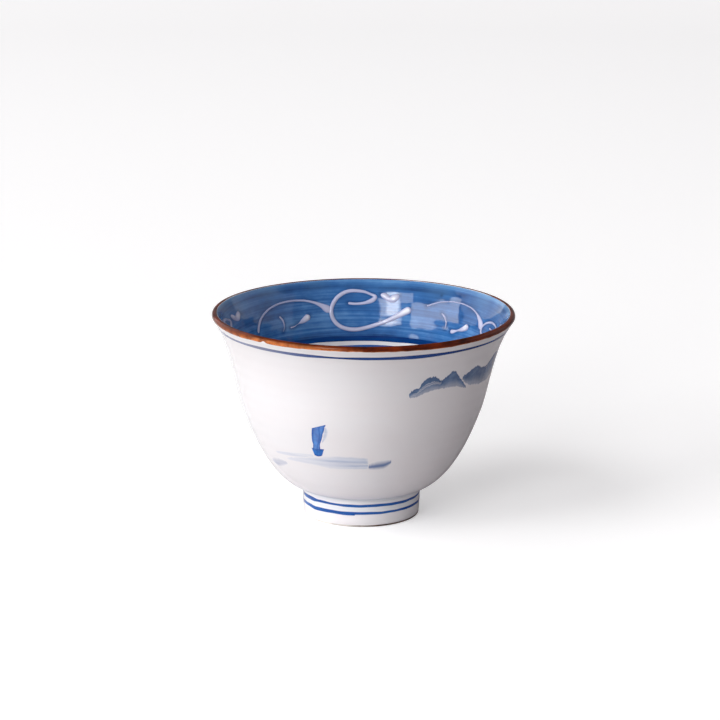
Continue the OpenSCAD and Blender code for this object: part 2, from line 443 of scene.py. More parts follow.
porcelain, tree, shader = glaze("porcelain_glaze")
# Pooled glaze at the foot join, plus painted shade in that crease and on the foot, tints the white
# blue-grey.
pooled = blend(tree, layer(tree, "pool"), porcelain_colour(tree), (0.60, 0.68, 0.74))
tree.links.new(pooled, shader.inputs["Base Color"])

bare_clay, tree, shader = glaze("bare_clay", roughness=0.8, unevenness=1.0)
clay = ramp(tree, noise(tree, (300, 300, 300)), [(0.35, (0.74, 0.69, 0.64)), (0.65, (0.79, 0.75, 0.71))])
# Dark brown of the painted contact shadow on the bare edge.
burnt = ramp(tree, noise(tree, (300, 300, 300)), [(0.35, (0.04, 0.018, 0.01)), (0.65, (0.12, 0.06, 0.035))])
tree.links.new(blend(tree, layer(tree, "burnt"), clay, burnt), shader.inputs["Base Color"])

iron_brown, tree, shader = glaze("iron_brown_glaze", roughness=0.1, shine=0.15)
body = ramp(tree, noise(tree, (160, 160, 500)), [(0.3, (0.032, 0.004, 0.001)), (0.7, (0.17, 0.021, 0.003))])
# Orange where the glaze is thin, plus a painted highlight on the lit left side of the lip.
thin = combine(tree, "MULTIPLY", layer(tree, "thin"), fit(tree, noise(tree, (420, 420, 420)), 0.25, 0.6))
tree.links.new(blend(tree, thin, body, (0.68, 0.21, 0.055)), shader.inputs["Base Color"])
print("body materials:", len(bpy.data.materials))

# %% [markdown]
# ## Cobalt
#
# All blue on a cup like this is one pigment, and how blue it looks depends on how much the brush left. So
# one function makes every blue: a strong and a weak tone mixed by the streaks of the brush, over the white
# body.

# %% Cobalt blues
def cobalt(name, strong, weak, cells=(90, 90, 700)):
    """Cobalt under the glaze: the layer paint says how much of it there is, the layer dark where the brush
    left an edge, and streaks of the brush thin it out."""
    material, tree, shader = glaze(name, shine=0.3)
    streak = fit(tree, noise(tree, cells), 0.3, 0.7)
    streak = combine(tree, "MULTIPLY", streak, combine(tree, "SUBTRACT", 1.0, layer(tree, "dark")))
    colour = blend(tree, streak, strong, weak)
    painted = blend(tree, layer(tree, "paint"), porcelain_colour(tree), colour)
    tree.links.new(painted, shader.inputs["Base Color"])
    return material


cobalt_line = cobalt("cobalt_line", (0.006, 0.055, 0.27), (0.02, 0.12, 0.40))
rim_cobalt = cobalt("cobalt_line_dark", (0.003, 0.026, 0.14), (0.009, 0.062, 0.27))
cobalt_ring = cobalt("cobalt_ring", (0.001, 0.018, 0.10), (0.002, 0.055, 0.24))
cobalt_paint = cobalt("cobalt_paint", (0.008, 0.07, 0.33), (0.042, 0.245, 0.68), (700, 700, 260))
pale_cobalt = cobalt("pale_cobalt", (0.05, 0.11, 0.24), (0.14, 0.23, 0.41), (260, 260, 420))
dab_cobalt = cobalt("pale_cobalt_dab", (0.09, 0.15, 0.32), (0.18, 0.25, 0.43), (120, 120, 700))
water_wash = cobalt("water_wash", (0.36, 0.43, 0.58), (0.60, 0.64, 0.73), (60, 60, 900))
print("with the blues:", len(bpy.data.materials))

# %% [markdown]
# ## Blue wash and white slip
#
# The wash is the same pigment put on with a broad brush, so three noises lie over each other: hairs of the
# brush, its slow passes, and the cloud that the fire makes of them. The slip is coloured by its own
# thickness: blue shines through a thin edge, and only the middle of a bead is white.

# %% Wash and slip
brushed_blue, tree, shader = glaze("brushed_blue_wash", wavy=0.3)
hairs = noise(tree, (26, 26, 1500), detail=5, rough=0.65)
passes = noise(tree, (7, 7, 280), detail=3)
cloud = noise(tree, (130, 130, 200), detail=5)
density = combine(tree, "MULTIPLY", hairs, 0.3)
density = combine(tree, "ADD", density, combine(tree, "MULTIPLY", passes, 0.45))
density = combine(tree, "ADD", density, combine(tree, "MULTIPLY", cloud, 0.25))
blue_tones = [(0.38, (0.005, 0.043, 0.165)), (0.5, (0.028, 0.125, 0.35)), (0.62, (0.11, 0.275, 0.55))]
blue = ramp(tree, density, blue_tones)
# Dark where the cobalt pools beside the slip beads; this also stands as painted shade there.
blue = blend(tree, layer(tree, "pool"), blue, (0.003, 0.028, 0.12))
blue = blend(tree, layer(tree, "paint"), (0.16, 0.36, 0.60), blue)
tree.links.new(blue, shader.inputs["Base Color"])

white_slip, tree, shader = glaze("white_slip", roughness=0.06)
slip_tones = [(0.0, (0.05, 0.13, 0.33)), (0.14, (0.26, 0.31, 0.51)), (0.34, (0.43, 0.44, 0.62)),
              (0.6, (0.50, 0.51, 0.67)), (1.0, (0.78, 0.79, 0.84))]
tree.links.new(ramp(tree, layer(tree, "body"), slip_tones), shader.inputs["Base Color"])
print("materials:", len(bpy.data.materials))

# %% [markdown]
# ## Bowl
#
# The bowl is the whole section turned once round. Its rows follow the section and lie closer together over
# the lip, where the line bends most. Where wall and foot meet, the clear glaze runs together and looks a
# little blue, and the crease there is also darkened with painted shade.

# %% The bowl
AROUND = 330
heading = np.arange(AROUND) * 360 / AROUND
s_rows = np.r_[np.linspace(0.4, S_FOOT, 22)[:-1], np.linspace(S_FOOT, S_LIP_OUT, 104)[:-1],
               np.linspace(S_LIP_OUT, S_LIP_IN, 26)[:-1], np.linspace(S_LIP_IN, S_END - 0.4, 118)]
grid = on_cup(heading[None, :], s_rows[:, None])
# Glaze pooled at the foot join, also darkened as painted shade in the crease.
pool = 0.9 * bump_at(s_rows, S_FOOT + 0.7, 0.8)
piece("bowl", grid, porcelain, pool=np.broadcast_to(pool[:, None], grid.shape[:2]))
print("bowl:", made["bowl_fired"], "faces")

# %% [markdown]
# ## Foot ring
#
# The foot was turned on the wheel as a separate step: a slightly tapered ring with a soft fillet where it
# joins the bowl. The potter wipes its lowest edge, so that it doesn't stick to the kiln shelf, and that
# edge stays bare. It is a piece of its own, because it is another surface: rough clay, darkened with a
# painted contact shadow on the side away from the light.

# %% Foot ring
def turned(outline, rows=360):
    """A closed outline of (radius, height) turned once round: rows of headings, each ring the outline."""
    h = np.radians(np.arange(rows) * 360 / rows)[:, None]
    r, z = outline[None, :, 0], outline[None, :, 1]
    return by_hand(np.stack([r * np.sin(h), -r * np.cos(h), z + 0 * h], -1))


FOOT_R, FOOT_IN = 16.6, 14.2
UPPER_LINE, LOWER_LINE = 6.36, 4.1
BETWEEN_LINES = 5.2
lower_side = curve([FOOT_R - 0.12, edge_z - 0.12], [FOOT_R + 0.15, edge_z + 0.6], [foot_top_r - 0.1, 2.6],
                   [foot_top_r, LOWER_LINE], 24)
upper_side = curve([foot_top_r, LOWER_LINE + 0.1], [foot_top_r + 0.02, 5.6],
                   [foot_top_r - 0.05, foot_z - 0.5], foot_join + [0.1, 0.05], 24)
foot_side = np.vstack([lower_side, upper_side])
foot_inner = curve(foot_join + [-0.6, 0.5], [FOOT_IN + 0.4, foot_z + 0.4], [FOOT_IN - 0.1, recess_z + 1],
                   [FOOT_IN + 0.05, 1.2], 24)
foot_under = curve([FOOT_IN + 0.1, edge_z], [FOOT_IN + 0.4, edge_z - 0.3], [FOOT_R - 1, edge_z - 0.3],
                   [FOOT_R - 0.3, edge_z - 0.2], 10)
grid = turned(np.vstack([foot_side, foot_inner, foot_under]))
height = grid[..., 2]
# Glaze pooled at the join, and painted shade there and in a band between the two foot lines.
pool = 0.7 * np.exp(-np.abs(height - foot_z) / 0.5) + 0.35 * bump_at(height, BETWEEN_LINES, 0.9)
piece("foot_ring", grid, porcelain, rows_closed=True, pool=pool)
print("foot ring:", made["foot_ring_fired"], "faces")

# %% Bare edge, with its painted contact shadow, a share from 0 to 1, by the heading in degrees
SHADOW_FROM, SHADOW_TO, SHADOW_FADE = -14, 125, 30
edge_outside = curve([FOOT_R - 0.02, edge_z - 0.1], [FOOT_R - 0.02, 0.15], [FOOT_R - 0.1, 0],
                     [FOOT_R - 0.5, 0], 10)
edge_inside = curve([FOOT_IN + 0.9, 0], [FOOT_IN + 0.4, 0], [FOOT_IN + 0.2, 0.2],
                    [FOOT_IN + 0.15, edge_z], 8)
grid = turned(np.vstack([edge_outside, edge_inside]))
side = np.degrees(np.arctan2(grid[..., 0], -grid[..., 1]))
# Painted contact shadow: the bare edge is dark on the front right, the side away from the light.
burnt = np.clip((side - SHADOW_FROM) / SHADOW_FADE, 0, 1) * np.clip((SHADOW_TO - side) / SHADOW_FADE, 0, 1)
shadow_fringe = 0.25 * (side < 0) * (side > -SHADOW_FADE)
piece("foot_edge", grid, bare_clay, rows_closed=True, burnt=np.clip(burnt + shadow_fringe, 0, 1))
print("bare edge:", made["foot_edge_fired"], "faces")

# %% [markdown]
# ## Brown lip
#
# The lip was wiped with an iron slip before glazing. It lies over the clear glaze as a layer of its own,
# thick on the crest, thin and orange along its uneven lower edge, and painted lighter orange on its lit
# left side as a painted highlight. On that side the edge has a small notch and a run beside it.

# %% The brown lip
LINE_ROWS = 1080
NOTCH_AT, RUN_AT, LIT_SIDE_AT = 320.6, 325, 322
around = np.arange(LINE_ROWS) * 360 / LINE_ROWS
wander = ripple(around, 3, 0.09) + ripple(around, 4, 0.03, (30, 120))
notch = 0.5 * bump_at(around, NOTCH_AT, 1.0) - 0.15 * bump_at(around, RUN_AT, 3)
low_edge = s_outside(brown_z) + 0.12 + wander + notch
high_edge = S_TOP + 0.45 + ripple(around, 5, 0.05)
grid, v = skin(around, low_edge, high_edge, 0.05, across=22, swell=1.0)
# Painted highlight: the lip is drawn lighter orange on its lit left side.
lit_side_highlight = bump_at(around, LIT_SIDE_AT, 26)[:, None]
thin = np.clip(np.clip(1 - 6 * v, 0, 1) + lit_side_highlight * np.clip(1.3 - 2.2 * v, 0, 1), 0, 1)
piece("rim_band", grid, iron_brown, rows_closed=True, thin=thin)
print("lip: brown from", round(float(low_edge.mean()), 2), "to", round(float(high_edge.mean()), 2))

# %% [markdown]
# ## Fine lines
#
# The painter holds a loaded brush still and spins the cup, so each line closes on itself. The line on the
# rim is paler on its lit left side, from thinner paint and a painted highlight. On the foot, the upper line
# is fuller where the brush was fresh, and the lower one ends in a small step where it overlaps.

# %% Lines on the rim and foot
RIM_LINE_WIDTH = 1.0
PALER_AT = 312


def line_skin(z, width, seed, wave=0.04):
    """A line round the outside of the bowl at height z, its middle and width wandering a little."""
    s = s_outside(z) + ripple(around, seed, wave)
    half = width / 2 * (1 + ripple(around, seed + 1, 0.16))
    grid, v = skin(around, s - half, s + half, 0.015, across=6)
    # Paler on the lit left side: thinner paint there, plus a painted highlight.
    paler_lit_side = 0.25 * bump_at(around, PALER_AT, 22)[:, None]
    return grid, np.clip(1.05 + ripple(around, seed + 2, 0.08)[:, None], 0, 1) - paler_lit_side + 0 * v


rim_line_z = sum(span("rim_line", 2)) / 2
grid, paint = line_skin(rim_line_z, RIM_LINE_WIDTH, 11)
piece("rim_line", grid, rim_cobalt, rows_closed=True, paint=paint)


PROUD, SUNK = 0.02, 0.06


def foot_line(z, half_low, half_high):
    """A line round the foot ring: rings of four corners, two just out of its side and two just under it."""
    corners = np.stack([z - half_low, z + half_high, z + half_high, z - half_low], 1)
    r = np.interp(corners, foot_side[:, 1], foot_side[:, 0]) + np.array([PROUD, PROUD, -SUNK, -SUNK])
    h = np.radians(around)[:, None]
    return by_hand(np.stack([r * np.sin(h), -r * np.cos(h), corners], -1))


FRESH_FROM, FRESH_TO = 230, 312
STEP_FROM, STEP_TO, STEP = 250, 354, 0.24

line_z = UPPER_LINE + ripple(around, 21, 0.05)
fuller = 0.18 * (around > FRESH_FROM) * np.clip((FRESH_TO - around) / 6, 0, 1)
half_low = 0.4 + fuller + ripple(around, 22, 0.04)
half_high = 0.4 + fuller + ripple(around, 23, 0.03)
grid = foot_line(line_z, half_low, half_high)
piece("foot_line_upper", grid, cobalt_line, rows_closed=True, paint=np.ones(grid.shape[:2]))

line_z = LOWER_LINE + ripple(around, 24, 0.04)
half_low = 0.35 + STEP * ((around > STEP_FROM) & (around < STEP_TO)) + ripple(around, 25, 0.03)
half_high = 0.41 + ripple(around, 26, 0.03)
grid = foot_line(line_z, half_low, half_high)
piece("foot_line_lower", grid, cobalt_line, rows_closed=True, paint=np.ones(grid.shape[:2]))
print("lines made:", [name for name in made if "line" in name])

# %% [markdown]
# ## Slip vine
#
# The vine is trailed: liquid white clay is squeezed from a nozzle, so a stem is a rounded bead, thinner
# where the hand moved fast and swollen where it stopped. Each bead is a path on the inside wall with a
# half width and a height, carried by a domed ring. Four scrolls go round the cup. They share one drawing,
# and the hand changed some strokes on the way: it started late or thin, stopped short, or pressed a scroll
# flat.

# %% Strokes on a wall
def eased(path, count):
    """A smooth run through a listed path: cubics through its points, sampled closer at both ends."""
    path = np.asarray(path, float)
    last = len(path) - 1
    t = (1 - np.cos(np.linspace(0, np.pi, count))) / 2 * last
    i = np.minimum(t.astype(int), last - 1)
    f = (t - i)[:, None]
    a, b, c, d = path[np.maximum(i - 1, 0)], path[i], path[i + 1], path[np.minimum(i + 2, last)]
    square, cube = 2 * a - 5 * b + 4 * c - d, 3 * b - a - 3 * c + d
    return 0.5 * (2 * b + (c - a) * f + square * f ** 2 + cube * f ** 3)


def bead(path, s_of, count=90, across=16, edge=2.5, flat=0.0):
    """A stroke on the wall. path holds (heading, height, half width, bead height). The stroke keeps its
    width on the real surface, its ends are round, and its cross-section is a dome 1 - |q| ** edge.
    Gives the grid, the dome's height as a share of a full bead, and q."""
    heading, z, half, tall = eased(path, count).T
    s = s_of(z)
    r = radius_at(s)
    x = np.radians(heading) * r.mean()
    dx, ds = np.gradient(x), np.gradient(s)
    step = np.maximum(np.hypot(dx, ds), 1e-9)
    along = np.r_[0, np.cumsum(np.hypot(np.diff(x), np.diff(s)))]
    near = np.minimum(along, along[-1] - along)
    cap = np.sqrt(np.clip(1 - (1 - np.clip(near / half, 0, 1)) ** 2, 0, 1))
    half, tall = half * cap, tall * (cap if flat == 0 else 1)
    q = np.linspace(-1, 1, across)
    dome = (1 - np.abs(q) ** edge) if flat == 0 else np.full(across, flat)
    q_ring = np.r_[q, q[::-1]]
    head = heading[:, None] + np.degrees(-ds / step * half / r)[:, None] * q_ring
    s_ring = s[:, None] + (dx / step * half)[:, None] * q_ring
    out = np.concatenate([tall[:, None] * dome, np.full((count, across), -0.08)], 1)
    share = np.concatenate([tall[:, None] * dome, 0 * tall[:, None] * dome], 1)
    return on_cup(head, s_ring, out), share, np.broadcast_to(q_ring, head.shape)


# %% The vine's paths, each point a heading along the scroll, a height, a half width and a bead height
SCROLL_START = [237, 155.5, 73, -25]
SCROLL_SPAN = [81.5, 82.5, 98, 98]
vine_path = [
    [-0.5, 47.7, 0.55, 0.4], [1.5, 49.8, 0.5, 0.38], [5, 51.7, 0.38, 0.3], [11.5, 53.5, 0.32, 0.24],
    [20, 54.4, 0.32, 0.22], [28.5, 54.2, 0.34, 0.24], [34, 53.4, 0.42, 0.3], [37.5, 52.4, 0.7, 0.38],
    [40.2, 51.3, 1.2, 0.46], [42, 50.5, 1.0, 0.45]]
scroll_path = [
    [50.2, 52.6, 0.45, 0.42], [53.5, 52.4, 0.42, 0.36], [57.5, 52.6, 0.5, 0.36], [61, 53.4, 0.75, 0.42],
    [62.2, 54.4, 0.6, 0.35], [60, 55.1, 0.42, 0.28], [56.5, 55.8, 0.5, 0.34], [50.5, 55.9, 0.62, 0.42],
    [45.3, 54.2, 0.66, 0.46], [42.3, 51.1, 0.66, 0.5], [43, 48.1, 0.66, 0.5], [46.7, 45.9, 0.64, 0.5],
    [52.5, 45.1, 0.64, 0.5], [59, 45.7, 0.62, 0.48], [67.7, 47.6, 0.66, 0.5], [73.6, 49.5, 0.85, 0.62],
    [77, 50.8, 1.15, 0.8], [79.2, 51.5, 1.1, 0.8]]
leaf_path = [
    [64.6, 55.1, 0.5, 0.35], [66.3, 54.7, 0.95, 0.6], [68.6, 53.9, 0.9, 0.45], [70.6, 54.1, 1.2, 0.7],
    [72.8, 55.1, 0.7, 0.4]]
tendril_path = [
    [13.4, 51.5, 0.18, 0.2], [15.4, 50.7, 0.32, 0.35], [17, 49.3, 0.3, 0.35], [17.1, 47.5, 0.16, 0.16],
    [16, 46.3, 0.1, 0.08]]
drop_path = [
    [20.6, 47.1, 0.75, 0.5], [22.4, 47.2, 0.6, 0.35], [25, 47.8, 0.34, 0.2], [27.8, 48.5, 0.75, 0.5],
    [30.4, 49.4, 1.05, 0.75], [31.4, 49.9, 0.9, 0.7]]
strokes = {"vine": (vine_path, 120), "scroll": (scroll_path, 220), "leaf": (leaf_path, 60),
           "tendril": (tendril_path, 60), "drop": (drop_path, 60)}
print("strokes of one scroll:", list(strokes))

# %% The vine's strokes
RELIEF, FULL_BEAD = 0.55, 0.8
HEADING, HEIGHT, HALF, TALL = range(4)
THIN_START = 0.3
LATE_RISE, LATE_HALF = 1.1, 0.7
FLAT_ABOUT, FLAT_HEIGHT, FLAT_HALF = 51, 0.5, 0.6
ACROSS = 16


def drawn(stroke, k):
    """The path of one stroke of scroll k, counted from 0, with what the hand changed there."""
    placed = np.array(strokes[stroke][0])
    placed[:, HEADING] = SCROLL_START[k] - placed[:, HEADING] * SCROLL_SPAN[k] / SCROLL_SPAN[0]
    if (stroke, k) in (("drop", 0), ("vine", 3)):  # a start with little slip
        placed[:3, HALF] *= THIN_START
    if (stroke, k) == ("vine", 1):  # started late, higher and thinner
        placed = placed[2:]
        placed[:, HEIGHT] += np.linspace(LATE_RISE, 0, len(placed))
        placed[:5, HALF] *= LATE_HALF
    if (stroke, k) == ("scroll", 1):  # flatter and thinner than the others
        placed[:, HEIGHT] = FLAT_ABOUT + FLAT_HEIGHT * (placed[:, HEIGHT] - FLAT_ABOUT)
        placed[:, HALF] *= FLAT_HALF
    if (stroke, k) == ("scroll", 3):  # stopped short
        placed = placed[:-3]
    if (stroke, k) == ("tendril", 0):
        placed = placed[1:]
    if (stroke, k) == ("tendril", 1):
        placed = placed[:-1]
    placed[:, TALL] *= RELIEF
    return placed


crests = []
for k in range(4):
    for stroke, (path, count) in strokes.items():
        grid, share, q = bead(drawn(stroke, k), s_inside, count, ACROSS)
        piece(f"{stroke}_{k + 1}", grid, white_slip, body=share / RELIEF / FULL_BEAD)
        crests.append(grid[:, ACROSS // 2])
crests = np.vstack(crests)
print("slip strokes:", 4 * len(strokes), "faces each about", made["vine_1_fired"])

# %% [markdown]
# ## Blue wash
#
# The inside is painted with a broad brush while the cup spins, which leaves level streaks, and closed by a
# dark ring below. The glaze over the wash is thicker against the slip beads, and the cobalt runs dark there;
# that dark margin is also painted shade beside the beads. Under the lip the wash is paler and patchy, most
# of all on the two sides. One small drop of blue fell on the wall high up at the back.

# %% The wash
WASH_ROWS, WASH_ACROSS = 720, 56
FAR_OFF = 9.0
POOL_AND_SHADE_REACH = 0.8
LOTS, NEARBY = 24, 2
SPLASH_AT, SPLASH_Z, SPLASH_R = 144.4, 56.3, 0.55

turn_by = np.arange(WASH_ROWS) * 360 / WASH_ROWS
low_edge = s_inside(wash_z - 0.1) + 0 * turn_by
high_edge = S_TOP + 0.55 + 0 * turn_by
grid, v = skin(turn_by, high_edge, low_edge, 0.02, across=WASH_ACROSS)
top = grid[:, :WASH_ACROSS]
# Darker beside the slip beads: pooled cobalt, and painted shade along their feet.
closest = np.full(top.shape[:2], FAR_OFF)
for some in np.array_split(crests, LOTS):
    low, high = some.min(0) - NEARBY, some.max(0) + NEARBY
    box = ((top > low) & (top < high)).all(-1)
    part = top[box]
    gap_to = np.sqrt(((part[:, None] - some) ** 2).sum(-1)).min(1)
    closest[box] = np.minimum(closest[box], gap_to)
pool_top = np.clip(1.5 - closest / POOL_AND_SHADE_REACH, 0, 1) * 0.5
splash = on_cup(np.array([[SPLASH_AT]]), s_inside(np.array([[SPLASH_Z]])))[0, 0]
pool_top = np.maximum(pool_top, 1.2 * np.exp(-((top - splash) ** 2).sum(-1) / SPLASH_R ** 2))
pool = np.concatenate([pool_top, pool_top[:, ::-1]], 1)
# Paler in a thin band under the lip, most on the two sides, and patchy below it.
sideways = np.abs(np.sin(np.radians(turn_by)))[:, None] ** 2
pale_under_lip = np.clip(1 - v * 14, 0, 1) * (0.15 + 0.5 * sideways)
patchy = np.clip(1 - v * 2.6, 0, 1) * np.clip(0.13 + ripple(turn_by, 31, 0.1)[:, None], 0, 1)
paint = np.clip(1 - pale_under_lip - patchy, 0, 1)
piece("inner_wash", grid, brushed_blue, rows_closed=True, pool=pool, paint=paint)
print("wash:", made["inner_wash_fired"], "faces, pooled share", round(float(pool_top.mean()), 3))

# %% The two rings, the dark one overlapping the wash
RING_WANDER = 0.06
RINGS = [("dark_ring", 41, 0.1, cobalt_ring), ("thin_ring", 44, 0, cobalt_line)]
for node, seed, overlap, blue_glaze in RINGS:
    low, high = span(node, 2)
    high_edge = s_inside(high + overlap) + ripple(turn_by, seed, RING_WANDER)
    low_edge = s_inside(low) + ripple(turn_by, seed + 1, RING_WANDER)
    grid, v = skin(turn_by, high_edge, low_edge, 0.03, across=8)
    piece(node, grid, blue_glaze, rows_closed=True, paint=1 + 0 * v)
print("rings:", made["dark_ring_fired"], "faces each")

# %% [markdown]
# ## Painted seascape
#
# The boat, the water and the hills are brush strokes under the glaze: thin films that follow the wall. A
# stroke of even width is a path, as on the vine but flat. The rest are areas between a top edge and a
# bottom edge. Each film carries how much paint the brush left, and that is what makes it look brushed.

# %% Brush films
FILM_HEIGHT, FILM_DEPTH, STROKE_HEIGHT = 0.015, 0.06, 0.01


def film(top_edge, low_edge, count=120, across=16, ragged=0.0, seed=0):
    """A film between two edges, each a listed line of (heading, height), made uneven by ragged. Rows go
    along the edges, and each ring goes up the film and back inside the wall. Gives the grid, the share u
    along the film and the share v from its low edge to its top edge."""
    top, low = eased(top_edge, count), eased(low_edge, count)
    rng = np.random.default_rng(seed)
    knots = count // 3
    along, knot_at = np.linspace(0, 1, count), np.linspace(0, 1, knots)
    for line, size in ((top, ragged), (low, 0.6 * ragged)):
        line[:, 1] += size * np.interp(along, knot_at, rng.normal(size=knots))
    v = np.linspace(0, 1, across)
    v_ring = np.r_[v, v[::-1]]
    place = low[:, None] + (top - low)[:, None] * v_ring[:, None]
    out = np.r_[np.full(across, FILM_HEIGHT), np.full(across, -FILM_DEPTH)]
    grid = on_cup(place[..., 0], s_outside(place[..., 1]), out)
    u = np.broadcast_to(along[:, None], grid.shape[:2])
    return grid, u, np.broadcast_to(v_ring, grid.shape[:2])


def edge_fade(v, soft=0.12):
    """Paint that thins to nothing within soft of both edges."""
    return np.clip(np.minimum(v, 1 - v) / soft, 0, 1)


def flat_stroke(node, path, material, strength, count=100):
    """A flat brush stroke outside, its paint thinned at both sides and weaker where the brush set down."""
    grid, share, q = bead([[*p, STROKE_HEIGHT] for p in path], s_outside, count, flat=1.0)
    u = np.linspace(0, 1, count)[:, None]
    paint = strength * np.clip((1 - np.abs(q)) / 0.35, 0, 1) * np.clip(4 * u + 0.3, 0, 1)
    return piece(node, grid, material, paint=paint)


# %% [markdown]
# ## The boat
#
# The sail is one loaded stroke, darker at its edges and along a crease, with a faint second touch beside
# it. The hull is a short dab under it.

# %% Sail and hull
sail_left = [[-23.7, 33.4], [-24.3, 31.5], [-24.6, 29.5], [-24.4, 28.1], [-25.2, 26.5]]
sail_right = [[-16.8, 34.8], [-18, 32.7], [-19.5, 30.2], [-20.8, 28.3], [-21, 26.5]]
grid, u, v = film(sail_left, sail_right, 60, 24, ragged=0.05, seed=51)
crease = bump_at(v, 0.35 + 0.1 * np.sin(9 * u), 0.05) * 0.7 + bump_at(u, 0.1, 0.03) * 0.6
dark = np.clip(1 - edge_fade(v, 0.22) + crease, 0, 1)
piece("sail", grid, cobalt_paint, paint=0.92 + 0.08 * dark, dark=dark)
haze_right = [[-17.5, 34.2], [-16.5, 33.9], [-15.8, 32.4], [-17.2, 30.4], [-19.4, 29]]
haze_left = [[-17.6, 34], [-17.8, 33], [-18.6, 31.9], [-19.2, 30.6], [-19.8, 29]]
grid, u, v = film(haze_right, haze_left, 40, 10, ragged=0.1, seed=52)
piece("sail", grid, water_wash, name="sail_haze", paint=0.8 * edge_fade(v, 0.4) * edge_fade(u, 0.15))

hull_top = [[-25.6, 27], [-22.5, 26.8], [-19, 27]]
hull_low = [[-24.7, 24.7], [-22.6, 24.4], [-20.6, 24.8]]
grid, u, v = film(hull_top, hull_low, 40, 12, ragged=0.04, seed=53)
dark = np.clip(bump_at(v, 0.95, 0.2) + bump_at(v, 0.1, 0.12) + 1 - edge_fade(u, 0.08), 0, 1)
piece("boat_hull", grid, cobalt_paint, paint=1 + 0 * v, dark=dark)
print("sail:", made["sail_fired"], "faces")

# %% [markdown]
# ## The water
#
# Water is drawn with a wide, nearly dry brush: long level streaks that set in one after the other, a
# firmer dab where it was lifted, and a soft one on the shore. The streaks are marks across one broad film,
# each with a strength, a place and a width across the film, and how fast and how late it comes in along
# it.

# %% Water and dabs
far_path = [[-52, 22.9, 0.4], [-42.3, 23.4, 0.7], [-33.7, 23.9, 0.8], [-25.5, 24.3, 0.7]]
flat_stroke("far_water", far_path, water_wash, 0.42)

STREAKS = [(1.0, 0.08, 0.07, 3, 1.1), (0.8, 0.27, 0.06, 4, 2.2), (1.0, 0.62, 0.07, 3, 0.9),
           (0.7, 0.86, 0.08, 4, 1.6), (-0.5, 0.45, 0.05, 4, 2.4)]
water_top = [[-45, 21.8], [-38, 23], [-27, 24], [-19, 24.8], [-11, 25.2], [-3.6, 25.2], [3.4, 24.9]]
water_low = [[-45, 21.4], [-36, 21.3], [-27, 21.2], [-18, 20.6], [-11, 20.6], [-4, 20.8], [3.4, 21]]
grid, u, v = film(water_top, water_low, 140, 40, ragged=0.08, seed=54)
streaks = sum(strength * bump_at(v, place, width) * np.clip(speed * u - late, 0, 1)
              for strength, place, width, speed, late in STREAKS)
dry_end = np.clip((1 - u - 0.05 * (v > 0.55)) * 10, 0, 1)
water = (0.42 + 0.42 * np.clip(2 * u - 0.8, 0, 1)) * edge_fade(v, 0.22) * np.clip(u * 5, 0, 1) * dry_end
piece("near_water", grid, water_wash, paint=np.clip(water * (1 + streaks), 0, 1))

dab_top = [[3.5, 22.8], [6.7, 23.5], [10.6, 23.9], [15.4, 24]]
dab_low = [[3.5, 20.9], [6.9, 20.6], [12.3, 20.9], [15.4, 22.5]]
grid, u, v = film(dab_top, dab_low, 60, 20, ragged=0.05, seed=55)
wet = 0.75 + 0.4 * bump_at(v, 0.35, 0.25)
paint = 0.9 * edge_fade(v, 0.42) * edge_fade(u, 0.12) * wet
piece("water_dab", grid, dab_cobalt, paint=np.clip(paint, 0, 1))

shore_top = [[-62, 19.4], [-56, 20.6], [-50, 21], [-45.4, 20.5]]
shore_low = [[-62, 18.2], [-57, 17.4], [-51, 18.2], [-45.8, 19.6]]
grid, u, v = film(shore_top, shore_low, 60, 20, ragged=0.1, seed=56)
wet = 1 + 0.8 * bump_at(u, 0.35, 0.15) * bump_at(v, 0.2, 0.2)
piece("shore_dab", grid, dab_cobalt, paint=0.38 * edge_fade(v, 0.35) * edge_fade(u, 0.2) * wet)
print("water:", made["near_water_fired"], "faces")

# %% [markdown]
# ## The hills
#
# Far hills are one wet stroke each: the top edge stays sharp and dark, and the paint thins towards the
# foot of the hill. In the first, two light lines are left in the paint as painted highlights of a ridge.

# %% Four hills, each a top edge and a bottom edge
ridges = [
    ([[20, 44.1], [21.7, 45.2], [24.4, 45.7], [25.5, 47.3], [27.7, 48.6], [30.5, 48.9], [32.6, 48.2],
      [34, 47.3], [35, 47.2]],
     [[20.3, 42.9], [22, 42.7], [23.9, 42.9], [27.3, 43.7], [30.8, 44.2], [33.5, 44.4], [35, 44.4]]),
    ([[34.8, 47.2], [36.6, 47.9], [38.6, 48.8], [40, 49.5], [41.4, 49.3], [42.8, 48.4], [45.6, 46.4],
      [50.8, 43.3]],
     [[34.8, 44.4], [38, 44.4], [40.1, 44.3], [44.6, 44.1], [48, 43.3], [50.9, 42.8]]),
    ([[47, 46.6], [48.4, 47.4], [50.6, 47.9], [53, 48.7], [55.4, 49], [59, 48.3], [63, 47.8], [66, 48]],
     [[47, 45.9], [49.4, 44.6], [51.3, 43.9], [54, 43.2], [56.6, 43], [61, 42.5], [64.2, 42.4], [66, 42.4]]),
    ([[65.6, 47.9], [69, 49.8], [73, 50.6], [78, 50.4], [83, 47.8], [89, 45.9], [94.4, 44.9]],
     [[65.6, 42.4], [70.9, 42.2], [76, 43], [82, 43.4], [88, 43.8], [94.4, 44.5]])]
